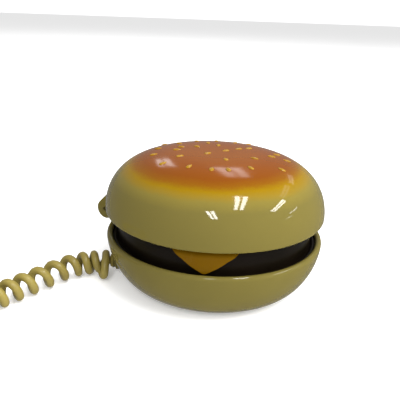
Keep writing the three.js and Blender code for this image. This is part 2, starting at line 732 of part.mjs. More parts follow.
function receiverGasket() {
  const high = COVER_TOP + 1;
  return revolve([[11, COVER_TOP], [17, COVER_TOP], [17, high], [11, high], [11, COVER_TOP]], 24)
    .translate(EARPIECE_X, 0, 0);
}

addPart("receiver_gasket", receiverGasket(), RUBBER);

function receiverCapsule() {
  const low = COVER_TOP + 1 + GAP;
  return revolve([
    [0, low], [17, low], [17, low + 4], [12, low + 5.5], [8, low + 9], [0, low + 9],
  ], 24).translate(EARPIECE_X, 0, 0);
}

addPart("receiver_capsule", receiverCapsule(), STEEL);

const BUMPER_PLACES = [[38, 23], [38, -23]];
for (const [i, [x, y]] of BUMPER_PLACES.entries()) {
  addPart(`lid_bumper_${i + 1}`, post(3, DECK_Z + GAP, COVER_DISH_Z - GAP, x, y, 12), RUBBER);
}

// ---- receiver's lead, one half each side of the hinge ----
function receiverLeadLid() {
  return tube([
    [EARPIECE_X - 18.2, 0, 54], [-6, 3, 52.8], [-24, 7, 52.2], [-42, 6, 52.2], [-55, 2, 51.8],
  ], 1.1, 8, 14);
}

function receiverLeadBase() {
  return tube([
    [-29, 4, BOARD.low - 1.2], [-33, 5, 28], [-42, 7, 22.5], [-50, 5, 19.5], [-57.5, 1, 18.5],
  ], 1.1, 8, 12);
}

addPart("receiver_lead_lid", receiverLeadLid(), BLACK_PLASTIC);
addPart("receiver_lead_base", receiverLeadBase(), BLACK_PLASTIC);

// ---- line cord, lying on the table ----
const CURL_Z = CURL_DIAMETER / 2 + 0.2;
const LOOP = { x: -122, y: -120, radius: 38, sweep: 300 };

// Route of the curls' axis from the bushing to the start of the put-away loop, chosen by hand.
const CURL_ROUTE = [
  [-55.6, -34, CURL_Z + 0.7],
  [-59.6, -36.3, CURL_Z + 0.3],
  [-63.9, -39.4, CURL_Z],
  [-67.7, -43.3, CURL_Z],
  [-70.6, -48.2, CURL_Z],
  [-72.7, -54, CURL_Z],
  [-74.2, -60.5, CURL_Z],
  [-75.4, -67.2, CURL_Z],
  [-76.6, -74, CURL_Z],
  [-77.9, -80.8, CURL_Z],
  [-79.2, -87.6, CURL_Z],
  [-80.6, -94.4, CURL_Z],
  [-81.8, -101.2, CURL_Z],
  [-83, -108.5, CURL_Z],
];

// The put-away loop runs clockwise from its nearest side and draws in a little.
function loopPoint(turned) {
  const angle = THREE.MathUtils.degToRad(-turned);
  const radius = LOOP.radius - 0.02 * turned;
  return [LOOP.x + radius * Math.cos(angle), LOOP.y + radius * Math.sin(angle), CURL_Z];
}

function curlRoute() {
  const route = [...CURL_ROUTE];
  for (let turned = 0; turned <= LOOP.sweep; turned += 15) {
    route.push(loopPoint(turned));
  }
  return route;
}

addPart("line_cord_curl", tube(curlRoute(), CURL_DIAMETER / 2, 10, 34), CREAM);

// The last straight stretch and its clear modular plug lie inside the loop.
const PLUG = { x: -115.5, y: -118.7, turn: -156, length: 12.3, width: 9.7, height: 6.6 };
const PLUG_CORD_Z = PLUG.height / 2;

function lineCordTail() {
  return tube([
    [-105.1, -92.8, CURL_Z], [-100.4, -96.6, 5.2], [-98.3, -102.5, 3.6], [-99.6, -108.8, PLUG_CORD_Z],
    [-104.2, -113.6, PLUG_CORD_Z], [-109.5, -116, PLUG_CORD_Z],
  ], CORD_DIAMETER / 2, 8, 12);
}

addPart("line_cord_tail", lineCordTail(), CREAM);

function modularPlug() {
  const body = box(PLUG.length, PLUG.width, 0.1, PLUG.height);
  const latch = box(PLUG.length - 3, 3.2, PLUG.height - 0.1, PLUG.height + 1.1, 1.2);
  const solid = toSolid(body).add(toSolid(latch));
  return fromSolid(solid).rotateZ(THREE.MathUtils.degToRad(PLUG.turn)).translate(PLUG.x, PLUG.y, 0);
}

addPart("modular_plug", modularPlug(), CLEAR_PLASTIC);

export default phone;
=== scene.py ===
"""Looks of the hamburger-shaped folding telephone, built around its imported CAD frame.

Everything is in metres in the row's frame: +X from the hinge to the mouthpiece end, +Z up.
"""

import math
import random

import bmesh
import bpy
from mathutils import Color, Matrix, Vector


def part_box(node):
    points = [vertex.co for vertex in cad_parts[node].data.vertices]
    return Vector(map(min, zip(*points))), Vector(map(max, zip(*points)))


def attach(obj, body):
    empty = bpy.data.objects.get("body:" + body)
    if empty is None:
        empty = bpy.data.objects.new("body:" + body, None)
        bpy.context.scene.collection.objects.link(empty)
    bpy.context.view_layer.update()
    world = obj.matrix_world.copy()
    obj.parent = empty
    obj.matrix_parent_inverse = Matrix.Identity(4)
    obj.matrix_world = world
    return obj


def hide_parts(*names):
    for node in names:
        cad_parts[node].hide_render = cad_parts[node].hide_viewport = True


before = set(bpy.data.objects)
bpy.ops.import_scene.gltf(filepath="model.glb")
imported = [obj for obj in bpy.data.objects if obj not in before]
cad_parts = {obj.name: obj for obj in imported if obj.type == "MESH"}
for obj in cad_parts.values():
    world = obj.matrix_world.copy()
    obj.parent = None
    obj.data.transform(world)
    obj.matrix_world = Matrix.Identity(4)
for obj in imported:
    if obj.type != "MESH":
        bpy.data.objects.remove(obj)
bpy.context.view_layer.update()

MM = 0.001
MICRON = 0.000001


def centre_of(node):
    low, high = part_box(node)
    return [(a + b) / 2 for a, b in zip(low, high)]


# ---- places taken from the frame ----
PATTY_LOW, PATTY_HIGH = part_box("patty_deck")
UPPER_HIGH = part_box("top_bun_shell")[1]
BUN_X = (PATTY_LOW[0] + PATTY_HIGH[0]) / 2
PIN_X, _, PIN_Z = centre_of("hinge_pin")
HALF = UPPER_HIGH[0] - BUN_X                    # half the bun's length
PLAN_RATIO = UPPER_HIGH[1] / HALF               # its width over its length
DECK_Z = PATTY_HIGH[2]
APEX_Z = 79 * MM
COVER_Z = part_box("lid_inner_cover")[0][2]
COVER_DISH_Z = COVER_Z + 2.7 * MM

# ---- shape of the buns, the same curves as the CAD ----
FOOT_LIFT = 1 * MM
WALL = 2.6 * MM
LOWER_BASE_RADIUS = 43.5 * MM
LOWER_WIDEST_Z = 29.8 * MM
LIP_RADIUS = 1.8 * MM
LOWER_SPREAD, LOWER_RISE = 0.93, 1.24           # powers that round the lower bun's side
UPPER_RIM_Z = 44.4 * MM
UPPER_RIM_INSIDE = 60.4 * MM
UPPER_WIDEST_Z = 46.2 * MM
UPPER_SPREAD, UPPER_RISE = 0.563, 0.948         # powers that round the dome
LEDGE_Z = 26.2 * MM                             # where the patty sits in the lower bun
FOOT_RECESS = 4.6 * MM
SCREW_RECESS = 3.1 * MM
SWITCH_SLOT = (8.4 * MM, 3.6 * MM, 8 * MM)
PATTY_RADIUS = 58.4 * MM
PATTY_FLANGE = 61.1 * MM
PATTY_WALL = 2.4 * MM
PIN_HOLE = 1.4 * MM
LUG_RADIUS = 6.2 * MM
ROUND = 160                                     # segments around each bun
CARVED_SHARP = 35                               # edges sharper than this stay sharp, degrees

# ---- camera ----
TARGET_Z = 40.75 * MM
CAMERA_AZIMUTH = 27.0
CAMERA_ELEVATION = 22.02
CAMERA_ROLL = 2.05
CAMERA_DISTANCE = 0.291
CAMERA_LENS = 43.35
CAMERA_SHIFT = (-0.0355, 0.0335)

# ---- line cord ----
STRAND = 4.7 * MM
CURL_OUTSIDE = 14.8 * MM                        # width over the curls
CURL_Z = CURL_OUTSIDE / 2 + 0.2 * MM
EXIT_ANGLE = math.radians(211.4)
EXIT_FACE = 63.1 * MM
CORD_EXIT_Z = 9 * MM
LOOP_CENTRE = (-122 * MM, -120 * MM)
LOOP_RADIUS = 38 * MM
LOOP_SWEEP = 300                                # degrees
LOOP_DRAW_IN = 0.02 * MM                        # for each degree


# ------------------------------------------------------------------ helpers
def bun_point(x, y, z):
    """A point given in millimetres from the bun's axis, as the CAD measures it."""
    return Vector((BUN_X + x * MM, y * MM, z * MM))


def add_object(name, data, body=None, material=None):
    piece = bpy.data.objects.new(name, data)
    bpy.context.scene.collection.objects.link(piece)
    if material is not None:
        data.materials.append(material)
    if body is not None:
        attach(piece, body)
    return piece


def mesh_from(name, work, sharp=40.0):
    """A finished bmesh as a mesh, smooth except along edges sharper than the angle."""
    bmesh.ops.recalc_face_normals(work, faces=work.faces)
    mesh = bpy.data.meshes.new(name)
    work.to_mesh(mesh)
    work.free()
    for polygon in mesh.polygons:
        polygon.use_smooth = True
    mesh.set_sharp_from_angle(angle=math.radians(sharp))
    return mesh


def lathe(profile, segments=ROUND):
    """Turns closed or axis-to-axis [radius, z] points about the bun's axis, oval in plan."""
    work = bmesh.new()
    rings = []
    for radius, z in profile:
        if radius == 0:
            rings.append([work.verts.new((BUN_X, 0, z))])
            continue
        ring = []
        for i in range(segments):
            angle = 2 * math.pi * i / segments
            ring.append(work.verts.new((
                BUN_X + radius * math.cos(angle), radius * PLAN_RATIO * math.sin(angle), z)))
        rings.append(ring)
    pairs = list(zip(rings, rings[1:]))
    if len(rings[0]) > 1 and len(rings[-1]) > 1:
        pairs.append((rings[-1], rings[0]))
    for low, high in pairs:
        for i in range(segments):
            j = (i + 1) % segments
            if len(low) == 1 and len(high) == 1:
                continue
            if len(low) == 1:
                work.faces.new((low[0], high[i], high[j]))
            elif len(high) == 1:
                work.faces.new((low[i], high[0], low[j]))
            else:
                work.faces.new((low[i], high[i], high[j], low[j]))
    return work


def arc(cx, cz, rx, rz, start, end, steps):
    """Points of an elliptical arc as [radius, z], angles in degrees."""
    points = []
    for i in range(steps + 1):
        angle = math.radians(start + (end - start) * i / steps)
        points.append([cx + rx * math.cos(angle), cz + rz * math.sin(angle)])
    return points


def slab(outline, low_y, high_y, bevel=0.0, segments=3):
    """An outline of (x, z) points given thickness along Y, with rounded edges."""
    work = bmesh.new()
    verts = [work.verts.new((x, low_y, z)) for x, z in outline]
    face = work.faces.new(verts)
    grown = bmesh.ops.extrude_face_region(work, geom=[face])
    moved = [v for v in grown["geom"] if isinstance(v, bmesh.types.BMVert)]
    bmesh.ops.translate(work, verts=moved, vec=(0, high_y - low_y, 0))
    if bevel > 0:
        caps = [e for e in work.edges if abs(e.verts[0].co.y - e.verts[1].co.y) < 1e-9]
        bmesh.ops.bevel(work, geom=caps, offset=bevel, segments=segments, affect="EDGES", clamp_overlap=True)
    return work


def block(size, centre, bevel, segments=3):
    """A box with all its edges rounded."""
    work = bmesh.new()
    bmesh.ops.create_cube(work, size=1)
    bmesh.ops.scale(work, vec=size, verts=work.verts)
    bmesh.ops.translate(work, vec=centre, verts=work.verts)
    bmesh.ops.bevel(work, geom=list(work.edges), offset=bevel, segments=segments, affect="EDGES")
    return work


def peg(radius, low, high, x, y, sides=32):
    """A plain round cutter along Z."""
    work = bmesh.new()
    bmesh.ops.create_cone(work, cap_ends=True, segments=sides, radius1=radius, radius2=radius,
                          depth=high - low)
    bmesh.ops.translate(work, vec=(x, y, (low + high) / 2), verts=work.verts)
    return work


def hinge_bore(length):
    """A round cutter for the pin's hole, lying along the hinge."""
    work = peg(PIN_HOLE, -length / 2, length / 2, 0, 0, 40)
    bmesh.ops.rotate(work, matrix=Matrix.Rotation(math.pi / 2, 3, "X"), verts=work.verts)
    bmesh.ops.translate(work, vec=(PIN_X, 0, PIN_Z), verts=work.verts)
    return work


def carve(piece, cutters):
    """Cuts each bmesh out of the piece, and applies the result."""
    for work in cutters:
        mesh = bpy.data.meshes.new("cutter")
        bmesh.ops.recalc_face_normals(work, faces=work.faces)
        work.to_mesh(mesh)
        work.free()
        tool = bpy.data.objects.new("cutter", mesh)
        bpy.context.scene.collection.objects.link(tool)
        change = piece.modifiers.new("cut", "BOOLEAN")
        change.operation = "DIFFERENCE"
        change.solver = "EXACT"
        change.object = tool
        depsgraph = bpy.context.evaluated_depsgraph_get()
        result = bpy.data.meshes.new_from_object(piece.evaluated_get(depsgraph))
        piece.modifiers.remove(change)
        old = piece.data
        piece.data = result
        result.name = old.name
        bpy.data.objects.remove(tool)
        bpy.data.meshes.remove(mesh)
    for polygon in piece.data.polygons:
        polygon.use_smooth = True
    piece.data.set_sharp_from_angle(angle=math.radians(CARVED_SHARP))


# ------------------------------------------------------------------ camera
def make_camera():
    azimuth = math.radians(CAMERA_AZIMUTH)
    elevation = math.radians(CAMERA_ELEVATION)
    back = Vector((
        math.sin(azimuth) * math.cos(elevation),
        -math.cos(azimuth) * math.cos(elevation),
        math.sin(elevation)))
    right = Vector((math.cos(azimuth), math.sin(azimuth), 0))
    up = back.cross(right)
    roll = math.radians(CAMERA_ROLL)
    x_axis = right * math.cos(roll) + up * math.sin(roll)
    y_axis = back.cross(x_axis)
    data = bpy.data.cameras.new("camera")
    data.lens = CAMERA_LENS
    data.sensor_width = 36
    data.shift_x, data.shift_y = CAMERA_SHIFT
    data.clip_start = 0.01
    camera = bpy.data.objects.new("camera", data)
    bpy.context.scene.collection.objects.link(camera)
    place = Vector((BUN_X, 0, TARGET_Z)) + back * CAMERA_DISTANCE
    turn = Matrix((x_axis, y_axis, back)).transposed().to_4x4()
    camera.matrix_world = Matrix.Translation(place) @ turn
    bpy.context.scene.camera = camera


# ------------------------------------------------------------------ materials
def new_material(name):
    material = bpy.data.materials.new(name)
    material.use_nodes = True
    return material, material.node_tree.nodes, material.node_tree.links


def linear(*display):
    """A colour given in 0 to 255 display values, as the shader wants it."""
    colour = Color([value / 255 for value in display]).from_srgb_to_scene_linear()
    return (*colour, 1.0)


def noise(nodes, links, coordinates, scale, detail=3.0):
    texture = nodes.new("ShaderNodeTexNoise")
    texture.inputs["Scale"].default_value = scale
    texture.inputs["Detail"].default_value = detail
    links.new(coordinates, texture.inputs["Vector"])
    return texture.outputs["Fac"]


def ramp(nodes, links, value, stops):
    node = nodes.new("ShaderNodeValToRGB")
    elements = node.color_ramp.elements
    while len(elements) > 1:
        elements.remove(elements[-1])
    elements[0].position = stops[0][0]
    elements[0].color = stops[0][1]
    for position, colour in stops[1:]:
        element = elements.new(position)
        element.color = colour
    links.new(value, node.inputs["Fac"])
    return node.outputs["Color"]


def maths(nodes, links, operation, a, b):
    node = nodes.new("ShaderNodeMath")
    node.operation = operation
    for socket, value in zip(node.inputs, (a, b)):
        if isinstance(value, (int, float)):
            socket.default_value = value
        else:
            links.new(value, socket)
    return node.outputs[0]


def varied(nodes, links, value, fac, amount):
    """The value moved up and down by a noise that runs from 0 to 1."""
    swing = maths(nodes, links, "MULTIPLY", maths(nodes, links, "SUBTRACT", fac, 0.5), amount)
    return maths(nodes, links, "ADD", value, swing)


def roughen(nodes, links, coordinates, relief, detail):
    """Fine bumps on the surface, from a (depth, scale) pair."""
    depth, scale = relief
    bump = nodes.new("ShaderNodeBump")
    bump.inputs["Distance"].default_value = depth
    links.new(noise(nodes, links, coordinates, scale, detail), bump.inputs["Height"])
    links.new(bump.outputs["Normal"], nodes["Principled BSDF"].inputs["Normal"])


def grey(level):
    return (level, level, level, 1.0)


def mottled(name, dark, light, roughness, scale, relief=None, **fixed):
    """A plain material with slow colour drift and uneven roughness between two values.

    Relief gives the surface fine bumps, as (depth, scale of their noise).
    """
    material, nodes, links = new_material(name)
    shader = nodes["Principled BSDF"]
    for socket, value in fixed.items():
        shader.inputs[socket.replace("_", " ")].default_value = value
    here = nodes.new("ShaderNodeTexCoord").outputs["Object"]
    drift = noise(nodes, links, here, scale)
    links.new(ramp(nodes, links, drift, [(0.3, dark), (0.7, light)]), shader.inputs["Base Color"])
    low, high = roughness
    rough = noise(nodes, links, here, scale * 3.7)
    links.new(ramp(nodes, links, rough, [(0.3, grey(low)), (0.7, grey(high))]), shader.inputs["Roughness"])
    if relief is not None:
        roughen(nodes, links, here, relief, 4.0)
    return material


CREAM_DARK = linear(92, 83, 38)
CREAM_LIGHT = linear(97, 88, 42)
CRUST_START_Z = 60 * MM
CRUST_SPAN = 20 * MM
# How much the fade wanders, how grainy the spray is and how uneven its gloss, with each noise's scale.
EDGE_WOBBLE, EDGE_SCALE = 0.16, 28.0
SPRAY_GRAIN, SPRAY_SCALE = 0.07, 900.0
GLOSS_SMEAR, SMEAR_SCALE = 0.2, 60.0
BUN_RELIEF = (3 * MICRON, 1400.0)
# Crust colours from the bottom of the fade to the top of the dome.
CRUST_STOPS = [
    (0.16, CREAM_LIGHT),
    (0.38, linear(110, 98, 42)),
    (0.48, linear(121, 99, 28)),
    (0.58, linear(126, 97, 0)),
    (0.68, linear(116, 71, 0)),
    (0.78, linear(112, 58, 0)),
    (0.9, linear(116, 59, 2)),
    (0.98, linear(122, 66, 6)),
]


def crust_material():
    """Cream plastic with an airbrushed crust that fades out down the dome."""
    material, nodes, links = new_material("bun_crust")
    shader = nodes["Principled BSDF"]
    here = nodes.new("ShaderNodeTexCoord").outputs["Object"]
    split = nodes.new("ShaderNodeSeparateXYZ")
    links.new(here, split.inputs[0])
    height = maths(nodes, links, "SUBTRACT", split.outputs["Z"], CRUST_START_Z)
    height = maths(nodes, links, "DIVIDE", height, CRUST_SPAN)
    height = varied(nodes, links, height, noise(nodes, links, here, EDGE_SCALE, 2.0), EDGE_WOBBLE)
    height = varied(nodes, links, height, noise(nodes, links, here, SPRAY_SCALE, 2.0), SPRAY_GRAIN)
    links.new(ramp(nodes, links, height, CRUST_STOPS), shader.inputs["Base Color"])
    gloss = varied(nodes, links, height, noise(nodes, links, here, SMEAR_SCALE), GLOSS_SMEAR)
    links.new(ramp(nodes, links, gloss, [(0.4, grey(0.05)), (0.75, grey(0.13))]), shader.inputs["Roughness"])
    roughen(nodes, links, here, BUN_RELIEF, 2.0)
    shader.inputs["Specular IOR Level"].default_value = 0.3
    return material


def make_materials():
    made = {"crust": crust_material()}
    made["cream"] = mottled("bun_cream", CREAM_DARK, CREAM_LIGHT, (0.06, 0.11), 22.0, BUN_RELIEF,
                            Specular_IOR_Level=0.28)
    made["patty"] = mottled("patty_gloss", linear(14, 10, 5), linear(21, 15, 9), (0.3, 0.38), 40.0,
                            (3 * MICRON, 700.0), Specular_IOR_Level=0.16)
    made["cheese"] = mottled("cheese_yellow", linear(95, 66, 0), linear(101, 72, 0), (0.2, 0.3), 35.0,
                             (20 * MICRON, 900.0), Specular_IOR_Level=0.06)
    made["seed"] = mottled("sesame_paint", linear(132, 96, 0), linear(148, 110, 4), (0.2, 0.3), 300.0)
    made["cord"] = mottled("cord_vinyl", linear(126, 112, 54), linear(138, 124, 62), (0.28, 0.4), 60.0,
                           (20 * MICRON, 1200.0), Specular_IOR_Level=0.35)
    made["rubber"] = mottled("black_rubber", linear(22, 22, 22), linear(34, 34, 34), (0.75, 0.9), 200.0,
                             (60 * MICRON, 1500.0))
    made["steel"] = mottled("zinc_steel", linear(150, 150, 146), linear(178, 178, 172), (0.25, 0.42), 180.0,
                            (20 * MICRON, 2000.0), Metallic=1.0)
    made["aluminium"] = mottled("capsule_aluminium", linear(160, 160, 160), linear(190, 190, 190),
                                (0.28, 0.4), 150.0, (20 * MICRON, 2500.0), Metallic=1.0)
    made["brass"] = mottled("sounder_brass", linear(178, 140, 64), linear(198, 160, 82), (0.25, 0.38), 120.0,
                            (20 * MICRON, 1800.0), Metallic=1.0)
    made["board"] = mottled("board_laminate", linear(20, 66, 32), linear(30, 84, 42), (0.35, 0.5), 260.0,
                            (30 * MICRON, 2200.0))
    made["black"] = mottled("black_plastic", linear(20, 20, 20), linear(30, 29, 28), (0.35, 0.5), 150.0,
                            (40 * MICRON, 2400.0))
    made["clear"] = mottled("clear_plastic", linear(214, 220, 216), linear(226, 231, 228), (0.06, 0.12), 90.0,
                            Transmission_Weight=0.85, IOR=1.58)
    made["digit"] = mottled("digit_print", linear(214, 210, 196), linear(226, 222, 210), (0.4, 0.5), 300.0)
    return made


# ------------------------------------------------------------------ line cord
# Route of the curls' axis from the bushing to the start of the put-away loop, as in the CAD.
CURL_ROUTE = [
    (-55.6, -34, 0.7), (-59.6, -36.3, 0.3), (-63.9, -39.4, 0), (-67.7, -43.3, 0), (-70.6, -48.2, 0),
    (-72.7, -54, 0), (-74.2, -60.5, 0), (-75.4, -67.2, 0), (-76.6, -74, 0), (-77.9, -80.8, 0),
    (-79.2, -87.6, 0), (-80.6, -94.4, 0), (-81.8, -101.2, 0), (-83, -108.5, 0),
]
# The slack first loop: out of the bushing, down to the table and up to the first curl.
LEAD_ROUTE = [
    (-56.4, -33.9, 8.9), (-57.2, -36.5, 7), (-56.1, -39.3, 4.4), (-53.6, -41.3, 2.8), (-51.3, -42.7, 4.2),
    (-50.6, -42.8, 7.4), (-51.6, -40.8, 10.6), (-53.3, -37.9, 12.8),
]
# The straight strand from the end of the curls to the plug.
TAIL_ROUTE = [
    (-100.4, -96.6, 5.2), (-98.3, -102.5, 3.6), (-99.6, -108.8, 3.3), (-104.2, -113.6, 3.3),
    (-109.5, -116, 3.3),
]
# How far apart the curls are at places along their axis: snug by the phone, drawn out where the
# cord has been pulled, close again in the put-away loop.
CURL_PITCHES = [
    (0, 7.8), (8, 6.8), (12, 6.4), (22, 9.5), (34, 10.7), (48, 10), (58, 8.6), (102, 8.6), (118, 4.85),
]
FIRST_TURN = math.radians(352)
LAST_STRETCH = 26 * MM                          # over which the last curls are drawn out straight
DRAWN_OUT = 0.15                                # turns per length at the very end, against a full curl
AXIS_STEP = 0.25 * MM
STRAND_STEP = 1 * MM
POINTS_PER_TURN = 20
FINE_STEPS = 24                                 # steps of the curve between two given points


def loop_point(turned):
    """A point of the put-away loop, which runs clockwise and draws in a little."""
    angle = math.radians(-turned)
    radius = LOOP_RADIUS - LOOP_DRAW_IN * turned
    return Vector((
        BUN_X + LOOP_CENTRE[0] + radius * math.cos(angle),
        LOOP_CENTRE[1] + radius * math.sin(angle),
        CURL_Z))


def smooth_line(points, step):
    """Points a step apart along a Catmull-Rom curve through the given ones."""
    padded = [points[0] * 2 - points[1], *points, points[-1] * 2 - points[-2]]
    fine = []
    for a, b, c, d in zip(padded, padded[1:], padded[2:], padded[3:]):
        for i in range(FINE_STEPS):
            t = i / FINE_STEPS
            fine.append(0.5 * (2 * b + (c - a) * t + (2 * a - 5 * b + 4 * c - d) * t * t
                               + (3 * b - a - 3 * c + d) * t * t * t))
    fine.append(points[-1].copy())
    even = [fine[0]]
    left = step
    for a, b in zip(fine, fine[1:]):
        span = (b - a).length
        done = 0.0
        while span - done >= left:
            done += left
            even.append(a.lerp(b, done / span))
            left = step
        left -= span - done
    return even


def cord_axis():
    points = [Vector((BUN_X + x * MM, y * MM, CURL_Z + up * MM)) for x, y, up in CURL_ROUTE]
    points += [loop_point(turned) for turned in range(0, LOOP_SWEEP + 1, 15)]
    return smooth_line(points, AXIS_STEP)


def curl_pitch(run):
    """The pitch at a distance along the curls' axis, read between the places listed."""
    for (start, low), (end, high) in zip(CURL_PITCHES, CURL_PITCHES[1:]):
        if run < end * MM:
            part = (run / MM - start) / (end - start)
            return (low + (high - low) * part) * MM
    return CURL_PITCHES[-1][1] * MM


def curl_points():
    """Points of the strand all the way round every curl, the last ones drawn out straight."""
    axis = cord_axis()
    total = AXIS_STEP * (len(axis) - 1)
    full = (CURL_OUTSIDE - STRAND) / 2
    line = []
    turned = FIRST_TURN
    since = 0.0
    for i in range(1, len(axis) - 1):
        run = i * AXIS_STEP
        tangent = (axis[i + 1] - axis[i - 1]).normalized()
        side = tangent.cross(Vector((0, 0, 1))).normalized()
        up = side.cross(tangent)
        fullness = min((total - run) / LAST_STRETCH, 1.0)
        turn = 2 * math.pi * AXIS_STEP / curl_pitch(run) * max(fullness, DRAWN_OUT)
        turned += turn
        since += turn
        if since < 2 * math.pi / POINTS_PER_TURN:
            continue
        since = 0.0
        radius = full * math.sin(0.5 * math.pi * fullness)
        line.append(axis[i] + (up * math.cos(turned) + tangent.cross(up) * math.sin(turned)) * radius)
    return line


def cord_line():
    """The strand's own line: out of the bushing, round every curl, then straight to the plug."""
    curls = curl_points()
    leaves = Vector((
        BUN_X + EXIT_FACE * math.cos(EXIT_ANGLE), EXIT_FACE * math.sin(EXIT_ANGLE), CORD_EXIT_Z))
    lead = [leaves, *[bun_point(*p) for p in LEAD_ROUTE], curls[0]]
    tail = [curls[-1], *[bun_point(*p) for p in TAIL_ROUTE]]
    return smooth_line(lead, STRAND_STEP)[:-1] + curls + smooth_line(tail, STRAND_STEP)[1:]


def make_cord(materials):
    line = cord_line()
    data = bpy.data.curves.new("line_cord", "CURVE")
    data.dimensions = "3D"
    data.bevel_depth = STRAND / 2
    data.bevel_resolution = 4
    data.use_fill_caps = True
    spline = data.splines.new("POLY")
    spline.points.add(len(line) - 1)
    for point, place in zip(spline.points, line):
        point.co = (*place, 1.0)
    spline.use_smooth = True
    cord = add_object("line_cord", data, "base", materials["cord"])
    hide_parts("line_cord_curl", "line_cord_tail")


# ------------------------------------------------------------------ lower bun
def lower_outside(t):
    """Outside of the lower bun as [radius, z], from the lip at 0 to the flat underside."""
    spread = max(math.cos(t), 0.0) ** LOWER_SPREAD
    rise = 1 - math.sin(t) ** LOWER_RISE
    return [
        LOWER_BASE_RADIUS + (HALF - LOWER_BASE_RADIUS) * spread,
        FOOT_LIFT + (LOWER_WIDEST_Z - FOOT_LIFT) * rise,
    ]


def lower_profile():
    steps = 40
    outside = [lower_outside(math.pi / 2 * i / steps) for i in range(steps, -1, -1)]
    lip_centre = HALF - LIP_RADIUS
    lip = arc(lip_centre, LOWER_WIDEST_Z, LIP_RADIUS, LIP_RADIUS, 12, 180, 14)
    inside = []
    for i in range(8, steps + 1, 2):
        radius, z = lower_outside(math.pi / 2 * i / steps)
        if z > LEDGE_Z - 3.5 * MM:
            continue
        inside.append([radius - WALL, z + WALL * i / steps])
    ledge = [[lip_centre - LIP_RADIUS, LEDGE_Z], [inside[0][0], LEDGE_Z]]
    return [[0, FOOT_LIFT], *outside, *lip, *ledge, *inside, [0, FOOT_LIFT + WALL]]


def hinge_bracket():
    """The knuckle on the lower bun, between the lid's two lugs."""
    radius, half_width = 4.7 * MM, 9.6 * MM
    foot = [(-60, 9), (-56.5, 14), (-62.7, 29.8), (-65.6, 30.1)]
    outline = arc(PIN_X, PIN_Z, radius, radius, 20, 200, 24)
    outline += [(BUN_X + x * MM, z * MM) for x, z in foot]
    return slab(outline, -half_width, half_width, 0.7 * MM)


def exit_boss():
    """The upright pad that the cord's bushing sits in, square to the cord's exit."""
    half_width, low, high, corner = 5.6 * MM, 3.8 * MM, 22 * MM, 5 * MM
    start, face = 48 * MM, 61 * MM
    across, above, below = half_width - corner, high - corner, low + corner
    outline = []
    corners = [(across, above), (-across, above), (-across, below), (across, below)]
    for quarter, (cx, cz) in enumerate(corners):
        outline += arc(cx, cz, corner, corner, 90 * quarter, 90 * quarter + 90, 10)
    work = slab(outline, -face, -start, 1.3 * MM, 4)
    turn = Matrix.Rotation(EXIT_ANGLE + math.pi / 2, 4, "Z")
    bmesh.ops.transform(work, matrix=Matrix.Translation((BUN_X, 0, 0)) @ turn, verts=work.verts)
    return work


def bowl_filling():
    """The space inside the lower bun, for trimming what is joined on from outside."""
    profile = [[0, FOOT_LIFT + WALL - 0.001 * MM]]
    steps = 16
    for i in range(steps, 2, -1):
        radius, z = lower_outside(math.pi / 2 * i / steps)
        profile.append([radius - WALL * 0.6, z + WALL * 0.8])
    neck, above = HALF - 3 * MM, 60 * MM
    profile += [[neck, LOWER_WIDEST_Z + 1 * MM], [neck, above], [0, above]]
    return lathe(profile, 96)


def make_lower_bun(materials):
    shell = add_object("lower_bun", mesh_from("lower_bun", lathe(lower_profile())), "base",
                       materials["cream"])
    cutters = []
    for number in range(1, 5):
        x, y, _ = centre_of(f"rubber_foot_{number}")
        cutters.append(peg(FOOT_RECESS, -1 * MM, FOOT_LIFT + 1.4 * MM, x, y, 48))
        x, y, _ = centre_of(f"base_screw_{number}")
        cutters.append(peg(SCREW_RECESS, -1 * MM, FOOT_LIFT + 1.7 * MM, x, y, 40))
    for name in ("tone", "ringer"):
        x, y, _ = centre_of(f"{name}_switch_body")
        cutters.append(block(SWITCH_SLOT, (x, y, 2 * MM), 0.4 * MM))
    carve(shell, cutters)
    bracket = add_object("hinge_bracket", mesh_from("hinge_bracket", hinge_bracket()), "base",
                         materials["cream"])
    carve(bracket, [hinge_bore(30 * MM), bowl_filling()])
    boss = add_object("cord_boss", mesh_from("cord_boss", exit_boss()), "base",
                      materials["cream"])
    carve(boss, [bowl_filling()])
    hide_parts("lower_bun_shell")
    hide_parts("lower_bun_shell")
    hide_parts("lower_bun_shell")


# ------------------------------------------------------------------ patty
def patty_profile():
    """A cap with a slightly bellied side, a rounded shoulder and a beaded flange at its foot."""
    inside = PATTY_RADIUS - PATTY_WALL
    underside = DECK_Z - PATTY_WALL
    seat = LEDGE_Z + 0.3 * MM
    belly_low, belly_high = LEDGE_Z + 8.3 * MM, DECK_Z - 4 * MM
    side = [[PATTY_RADIUS - 0.6 * MM, LEDGE_Z + 2.7 * MM], [PATTY_RADIUS - 0.25 * MM, LEDGE_Z + 5 * MM]]
    for i in range(11):
        part = i / 10
        side.append([PATTY_RADIUS - 0.3 * MM * part * part, belly_low + (belly_high - belly_low) * part])
    shoulder = arc(PATTY_RADIUS - 3.3 * MM, belly_high, 3 * MM, 4 * MM, 10, 90, 10)
    bead = arc(PATTY_FLANGE - 0.9 * MM, LEDGE_Z + 2.6 * MM, 0.9 * MM, 0.8 * MM, 0, 180, 10)
    return [
        [0, underside], [inside - 1.5 * MM, underside], [inside, underside - 4 * MM], [inside, seat],
        [PATTY_FLANGE, seat], *bead, [PATTY_RADIUS - 0.2 * MM, LEDGE_Z + 1.7 * MM],
        *side, *shoulder, [0, DECK_Z],
    ]


KEY_NAMES = ["key_1", "key_2", "key_3", "key_4", "key_5", "key_6", "key_7", "key_8", "key_9", "key_star",
             "key_0", "key_hash", "key_redial", "key_flash"]
KEY_WELL = (8.8 * MM, 11.3 * MM, 8 * MM)
PLUNGER_HOLE = 3.2 * MM
MICROPHONE_HOLE = 0.8 * MM
CHEESE_ANGLE = math.radians(-68)
CHEESE_SEAT = (30 * MM, 39.6 * MM, 4.1 * MM)


